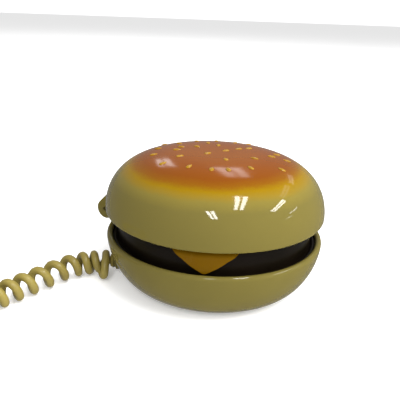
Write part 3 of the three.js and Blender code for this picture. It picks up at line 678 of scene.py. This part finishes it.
def make_patty(materials):
    deck = add_object("patty", mesh_from("patty", lathe(patty_profile())), "base",
                      materials["patty"])
    cutters = []
    for name in KEY_NAMES:
        x, y, _ = centre_of(name)
        cutters.append(block(KEY_WELL, (x, y, DECK_Z - 1 * MM), 0.9 * MM))
    low, high = DECK_Z - 5 * MM, DECK_Z + 2 * MM
    x, y, _ = centre_of("hook_plunger")
    cutters.append(peg(PLUNGER_HOLE, low, high, x, y, 48))
    x, _, _ = centre_of("microphone_capsule")
    for offset in (-3, 0, 3):
        cutters.append(peg(MICROPHONE_HOLE, low, high, x, offset * MM, 20))
    seat = block(CHEESE_SEAT, (56 * MM, 0, DECK_Z + 0.95 * MM), 0.3 * MM)
    turn = Matrix.Translation((BUN_X, 0, 0)) @ Matrix.Rotation(CHEESE_ANGLE, 4, "Z")
    bmesh.ops.transform(seat, matrix=turn, verts=seat.verts)
    cutters.append(seat)
    carve(deck, cutters)
    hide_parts("patty_deck")


# ------------------------------------------------------------------ cheese
# From the deck over the shoulder to the tip: (radius, height against the deck) in millimetres,
# with how much of the half width is left at each place.
CHEESE_PATH = [
    (47, -0.7), (53.5, -0.7), (56.8, -0.7), (58.5, -2.0), (58.9, -4.6), (59.1, -8.2), (59.5, -11.4),
]
CHEESE_REACH = [0.94, 1.0, 0.97, 0.83, 0.6, 0.34, 0.04]
CHEESE_HALF_WIDTH = 19.5
CHEESE_THICKNESS = 1.2
TIP_RADIUS = CHEESE_PATH[-1][0]


def along(values, t):
    """A value read off a list of them, t running from 0 to the list's end, smoothly."""
    i = min(int(t), len(values) - 2)
    f = t - i
    before = values[max(i - 1, 0)]
    after = values[min(i + 2, len(values) - 1)]
    a, b = values[i], values[i + 1]
    return 0.5 * (2 * a + (b - before) * f + (2 * before - 5 * a + 4 * b - after) * f * f
                  + (3 * a - before - 3 * b + after) * f * f * f)


def make_cheese(materials):
    work = bmesh.new()
    rows, columns = 48, 40
    last = len(CHEESE_PATH) - 1
    radii = [p[0] for p in CHEESE_PATH]
    heights = [p[1] for p in CHEESE_PATH]
    sides = []
    for offset in (0.0, CHEESE_THICKNESS):
        grid = []
        for row in range(rows + 1):
            t = last * row / rows
            radius, height = along(radii, t), along(heights, t)
            before, after = max(t - 0.05, 0), min(t + 0.05, last)
            ahead_r = along(radii, after) - along(radii, before)
            ahead_z = along(heights, after) - along(heights, before)
            size = math.hypot(ahead_r, ahead_z)
            out_r, out_z = -ahead_z / size, ahead_r / size
            reach = along(CHEESE_REACH, t)
            line = []
            for i in range(columns + 1):
                swing = CHEESE_HALF_WIDTH * (2 * i / columns - 1) * reach / TIP_RADIUS
                angle = CHEESE_ANGLE + swing
                r = radius + offset * out_r
                line.append(work.verts.new(bun_point(
                    r * math.cos(angle), r * PLAN_RATIO * math.sin(angle),
                    DECK_Z / MM + height + offset * out_z)))
            grid.append(line)
        sides.append(grid)
    inner, outer = sides
    for row in range(rows):
        for i in range(columns):
            work.faces.new((outer[row][i], outer[row + 1][i], outer[row + 1][i + 1], outer[row][i + 1]))
            work.faces.new((inner[row][i], inner[row][i + 1], inner[row + 1][i + 1], inner[row + 1][i]))
        work.faces.new((inner[row][0], inner[row + 1][0], outer[row + 1][0], outer[row][0]))
        work.faces.new((inner[row][-1], outer[row][-1], outer[row + 1][-1], inner[row + 1][-1]))
    for i in range(columns):
        work.faces.new((inner[0][i], outer[0][i], outer[0][i + 1], inner[0][i + 1]))
        work.faces.new((inner[-1][i], inner[-1][i + 1], outer[-1][i + 1], outer[-1][i]))
    piece = add_object("cheese", mesh_from("cheese", work, 50), "base", materials["cheese"])
    soften = piece.modifiers.new("soften", "BEVEL")
    soften.width = 0.3 * MM
    soften.segments = 3
    soften.limit_method = "ANGLE"
    soften.angle_limit = math.radians(50)
    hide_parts("cheese_slice")


# ------------------------------------------------------------------ keys
KEY_MARKS = {"key_star": "*", "key_hash": "#", "key_redial": None, "key_flash": None}
KEY_SIZE = (8 * MM, 10.5 * MM, 6 * MM)
KEY_TAPER = (0.86, 0.88)                        # size of the top against the foot, in x and in y
DIGIT_SIZE = 5.6 * MM
STAR_SIZE, STAR_DROP = 8 * MM, 1.2 * MM         # the font's star is small and sits high
DIGIT_THICKNESS = 0.06 * MM
BAR_SIZE = (1.2 * MM, 4.5 * MM, 0.3 * MM)


def make_digit(name, mark, x, y, top):
    """A mark from Blender's own font, lying on the key and read from the mouthpiece end."""
    text = bpy.data.curves.new(name, "FONT")
    text.body = mark
    text.size = STAR_SIZE if mark == "*" else DIGIT_SIZE
    text.align_x = "CENTER"
    text.align_y = "CENTER"
    text.extrude = DIGIT_THICKNESS
    holder = bpy.data.objects.new(name, text)
    bpy.context.scene.collection.objects.link(holder)
    bpy.context.view_layer.update()
    mesh = bpy.data.meshes.new_from_object(holder.evaluated_get(bpy.context.evaluated_depsgraph_get()))
    bpy.data.objects.remove(holder)
    drop = STAR_DROP if mark == "*" else 0
    turn = Matrix.Rotation(math.pi / 2, 4, "Z")
    mesh.transform(Matrix.Translation((x + drop, y, top)) @ turn)
    mesh.materials.clear()
    return mesh


def make_keys(materials):
    for name in KEY_NAMES:
        low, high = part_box(name)
        x, y = (low[0] + high[0]) / 2, (low[1] + high[1]) / 2
        cap = block(KEY_SIZE, (x, y, high[2] - 3 * MM), 0.001 * MM, 1)
        top = [v for v in cap.verts if v.co.z > high[2] - 0.5 * MM]
        for v in top:
            v.co.x = x + (v.co.x - x) * KEY_TAPER[0]
            v.co.y = y + (v.co.y - y) * KEY_TAPER[1]
        bmesh.ops.bevel(cap, geom=[e for e in cap.edges if e.calc_length() > 1 * MM], offset=0.7 * MM,
                        segments=4, affect="EDGES", clamp_overlap=True)
        key = add_object(f"{name}_cap", mesh_from(f"{name}_cap", cap, 60), name,
                         materials["black"])
        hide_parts(name)
        mark = KEY_MARKS.get(name, name[-1])
        if mark is None:
            bar = block(BAR_SIZE, (x, y, high[2]), 0.1 * MM)
            mesh = mesh_from(f"{name}_mark", bar)
        else:
            mesh = make_digit(f"{name}_mark", mark, x, y, high[2])
        add_object(f"{name}_mark", mesh, name, materials["digit"])


# ------------------------------------------------------------------ top bun
# Rings of seeds: plan radius as a fraction of the bun's, and the angle of each seed in degrees.
SEED_RINGS = [
    (0.1, (60, -110)),
    (0.25, (-46, 64, 112, 163)),
    (0.36, (5, 60, 132, 182, 202, 238)),
    (0.49, (-90, -70, -50, -27, 24, 92, 116, 140, 160)),
    (0.56, (40, 80, 192, 216, 246)),
    (0.63, (-2, 22, 171)),
]
SEED_SIZE = (4.8 * MM, 2.9 * MM, 1.3 * MM)
SEED_SCATTER = 3                                # degrees either way
LUG_STARTS = {"near": -17 * MM, "far": 10 * MM}
LUG_WIDTH = 7 * MM
LUG_ROOT = 61.4 * MM                            # how far out the lugs join the top bun's rim


def upper_outside(t, inward=0.0):
    """The dome as [radius, z], from its widest ring at 0 to the apex, drawn in for the inside."""
    return [
        (HALF - inward) * max(math.cos(t), 0.0) ** UPPER_SPREAD,
        UPPER_WIDEST_Z + (APEX_Z - inward - UPPER_WIDEST_Z) * math.sin(t) ** UPPER_RISE,
    ]


def upper_profile():
    edge = 0.7 * MM
    flat_to = 62.3 * MM
    rim = arc(UPPER_RIM_INSIDE + edge, UPPER_RIM_Z + edge, edge, edge, 180, 270, 4)
    rim += arc(flat_to, UPPER_WIDEST_Z, HALF - flat_to, UPPER_WIDEST_Z - UPPER_RIM_Z, -90, 0, 10)
    steps = 56
    outside = [upper_outside(math.pi / 2 * (i / steps) ** 1.1) for i in range(1, steps)]
    inside_steps = 30
    inside = [upper_outside(math.pi / 2 * (i / inside_steps), WALL) for i in range(inside_steps - 1, 1, -1)]
    step_up = [UPPER_RIM_INSIDE, UPPER_RIM_Z + 2.4 * MM]
    return [*rim, *outside, [0, APEX_Z], [0, APEX_Z - WALL], *inside, step_up]


def dome_height(fraction):
    """Height of the dome where its radius is a fraction of its widest."""
    return upper_outside(math.acos(fraction ** (1 / UPPER_SPREAD)))[1]


def make_seeds(materials):
    """Teardrop seeds moulded in relief, each pointing at the apex."""
    work = bmesh.new()
    nudge = 0.02
    length, width, height = SEED_SIZE
    for fraction, angles in SEED_RINGS:
        rise = dome_height(fraction + nudge) - dome_height(fraction - nudge)
        slope = math.atan(rise / (2 * nudge * HALF))
        r = HALF * fraction
        for degrees in angles:
            angle = math.radians(degrees + random.uniform(-SEED_SCATTER, SEED_SCATTER))
            place = (
                Matrix.Translation((
                    BUN_X + r * math.cos(angle), r * PLAN_RATIO * math.sin(angle), dome_height(fraction)))
                @ Matrix.Rotation(angle + math.pi, 4, "Z") @ Matrix.Rotation(slope, 4, "Y"))
            seed = bmesh.ops.create_uvsphere(work, u_segments=24, v_segments=14, radius=0.5)["verts"]
            for v in seed:
                along_seed = v.co.z
                taper = 1 - 0.4 * (along_seed + 0.5) ** 2
                v.co = Vector((along_seed * length, v.co.y * width * taper, v.co.x * height * taper))
            bmesh.ops.transform(work, matrix=place, verts=seed)
    seeds = add_object("sesame_seeds", mesh_from("sesame_seeds", work, 60), "lid",
                       materials["seed"])
    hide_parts("top_bun_shell")


def lid_lug(low_y):
    """One of the two lugs that hang from the top bun onto the hinge pin."""
    outline = arc(PIN_X, PIN_Z, LUG_RADIUS, LUG_RADIUS, 138, 338, 28)
    outline += [(BUN_X - LUG_ROOT, UPPER_RIM_Z), (BUN_X - LUG_ROOT, 51.6 * MM)]
    return slab(outline, low_y, low_y + LUG_WIDTH, 0.35 * MM)


def make_top_bun(materials):
    shell = add_object("top_bun", mesh_from("top_bun", lathe(upper_profile())), "lid",
                       materials["crust"])
    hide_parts("top_bun_shell")
    for side, low in LUG_STARTS.items():
        name = f"hinge_lug_{side}"
        lug = add_object(name, mesh_from(name, lid_lug(low)), "lid", materials["cream"])
        carve(lug, [hinge_bore(40 * MM)])
        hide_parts("top_bun_shell")
    make_seeds(materials)


SOUND_HOLE = 1.1 * MM
SOUND_HOLE_RING = 6 * MM


def cover_profile():
    """The lid's inner face: a flat rim with a shallow round dish."""
    under, dish, thick = COVER_Z, COVER_DISH_Z, 2 * MM
    return [
        [0, dish], [48.6 * MM, dish], [49.6 * MM, dish - 0.4 * MM], [51.2 * MM, under + 0.4 * MM],
        [52.2 * MM, under], [59.4 * MM, under], [59.8 * MM, under + 0.4 * MM], [59.8 * MM, under + 1.8 * MM],
        [53.2 * MM, under + 1.8 * MM], [50.6 * MM, dish + thick], [0, dish + thick],
    ]


def make_cover(materials):
    cover = add_object("lid_cover", mesh_from("lid_cover", lathe(cover_profile())), "lid",
                       materials["cream"])
    x, _, _ = centre_of("receiver_capsule")
    low, high = COVER_DISH_Z - 2 * MM, COVER_DISH_Z + 5 * MM
    cutters = [peg(SOUND_HOLE, low, high, x, 0, 24)]
    for i in range(6):
        angle = math.pi * i / 3
        across, along_hinge = SOUND_HOLE_RING * math.cos(angle), SOUND_HOLE_RING * math.sin(angle)
        cutters.append(peg(SOUND_HOLE, low, high, x + across, along_hinge, 24))
    carve(cover, cutters)
    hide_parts("lid_inner_cover")


# ------------------------------------------------------------------ carried-over CAD nodes
NODE_LOOKS = {
    "rubber": ["rubber_foot_1", "rubber_foot_2", "rubber_foot_3", "rubber_foot_4", "keypad_mat",
               "microphone_boot", "receiver_gasket", "lid_bumper_1", "lid_bumper_2"],
    "steel": ["base_screw_1", "base_screw_2", "base_screw_3", "base_screw_4", "lid_screw_1", "lid_screw_2",
              "lid_screw_3", "hinge_pin", "ballast_plate"],
    "aluminium": ["microphone_capsule", "receiver_capsule"],
    "brass": ["ringer_sounder"],
    "board": ["main_circuit_board"],
    "black": ["hook_plunger", "hook_switch_body", "tone_switch_body", "ringer_switch_body",
              "tone_switch_slider", "ringer_switch_slider", "receiver_lead_base", "receiver_lead_lid"],
    "cord": ["line_lead", "cord_strain_relief"],
    "clear": ["modular_plug"],
}


def dress_nodes(materials):
    for look, names in NODE_LOOKS.items():
        for name in names:
            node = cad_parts[name]
            node.data.materials.clear()
            node.data.materials.append(materials[look])


# ------------------------------------------------------------------ studio
ROOM_LIGHT = 0.6
MIRRORED_LIGHT = 0.28                           # the room as it shows in reflections
BACKDROP_LIGHT = 1.2                            # and where the camera looks past the floor
# Soft boxes: name, azimuth, elevation, distance, side, brightness.
SOFT_BOXES = [
    ("overhead", 20, 70, 2.4, 3.0, 1.15),
    ("right_side", 5, 30, 2.2, 2.2, 3.5),
]

# Ceiling fittings: (x, y) from the bun in metres, brightness, and size against the plain tube pair.
CEILING = 1.5
TUBE_SIZE = (0.9, 0.095)
TUBE_GAP = 0.05
TUBE_TURN = -56                                 # degrees
FITTINGS = [
    ((0.62, -0.22), 30, 1.0), ((0.56, -1.5), 34, 1.0), ((1.65, 0.53), 30, 1.1), ((3.15, 1.53), 16, 1.0),
    ((4.6, 1.2), 12, 1.0), ((-0.7, 1.77), 3.2, 1.35), ((-2.0, 2.22), 3, 1.5), ((0.39, 2.4), 2, 1.0),
    ((0.88, 1.3), 1.6, 1.0),
]


def make_floor():
    """A pale table that glows a little, left out of reflections."""
    work = bmesh.new()
    bmesh.ops.create_circle(work, cap_ends=True, segments=96, radius=60.0)
    floor = add_object("floor", mesh_from("floor", work))
    floor.data.materials.append(
        mottled("floor_pale", linear(232, 232, 232), linear(236, 236, 236), (0.85, 0.95), 3.0,
                Specular_IOR_Level=0.0, Emission_Color=(1, 1, 1, 1), Emission_Strength=0.3))
    floor.visible_glossy = False


def area_light(name, place, towards, size, radiance):
    """A rectangular light of a given brightness, facing along a direction."""
    data = bpy.data.lights.new(name, "AREA")
    data.shape = "RECTANGLE"
    data.size, data.size_y = size
    data.energy = radiance * size[0] * size[1] * math.pi
    lamp = bpy.data.objects.new(name, data)
    bpy.context.scene.collection.objects.link(lamp)
    lamp.location = place
    lamp.rotation_euler = (-towards).to_track_quat("Z", "Y").to_euler()
    return lamp


def make_ceiling_lights():
    """Pairs of tubes in the ceiling, which are what shows as split windows in the gloss."""
    turn = math.radians(TUBE_TURN)
    across = Vector((-math.sin(turn), math.cos(turn), 0))
    middle = Vector((BUN_X, 0, TARGET_Z + CEILING))
    for number, ((x, y), radiance, scale) in enumerate(FITTINGS):
        size = [scale * side for side in TUBE_SIZE]
        for side in (-0.5, 0.5):
            place = middle + Vector((x, y, 0)) + across * side * (size[1] + TUBE_GAP)
            lamp = area_light(f"tube_{number}_{side}", place, Vector((0, 0, -1)), size, radiance)
            lamp.rotation_euler = (0, 0, turn)


def make_world():
    """Even room light, weak in reflections, and white where the camera looks past the floor."""
    world = bpy.data.worlds.new("studio")
    world.use_nodes = True
    nodes, links = world.node_tree.nodes, world.node_tree.links
    back = nodes["Background"]
    back.inputs["Color"].default_value = (1, 1, 1, 1)
    rays = nodes.new("ShaderNodeLightPath").outputs
    seen = maths(nodes, links, "MULTIPLY", rays["Is Camera Ray"], BACKDROP_LIGHT - ROOM_LIGHT)
    mirrored = maths(nodes, links, "MULTIPLY", rays["Is Glossy Ray"], MIRRORED_LIGHT - ROOM_LIGHT)
    strength = maths(nodes, links, "ADD", maths(nodes, links, "ADD", seen, mirrored), ROOM_LIGHT)
    links.new(strength, back.inputs["Strength"])
    bpy.context.scene.world = world


def make_lights():
    make_world()
    make_ceiling_lights()
    middle = Vector((BUN_X, 0, TARGET_Z))
    for name, azimuth, elevation, distance, size, radiance in SOFT_BOXES:
        a, e = math.radians(azimuth), math.radians(elevation)
        out = Vector((math.cos(a) * math.cos(e), math.sin(a) * math.cos(e), math.sin(e)))
        lamp = area_light(name, middle + out * distance, -out, (size, size), radiance)
        lamp.visible_glossy = False
        lamp.visible_camera = False
    bpy.context.scene.view_settings.view_transform = "Standard"


def main():
    random.seed(7)
    make_camera()
    materials = make_materials()
    make_cord(materials)
    make_lower_bun(materials)
    make_patty(materials)
    make_cheese(materials)
    make_keys(materials)
    make_top_bun(materials)
    make_cover(materials)
    dress_nodes(materials)
    make_floor()
    make_lights()


main()
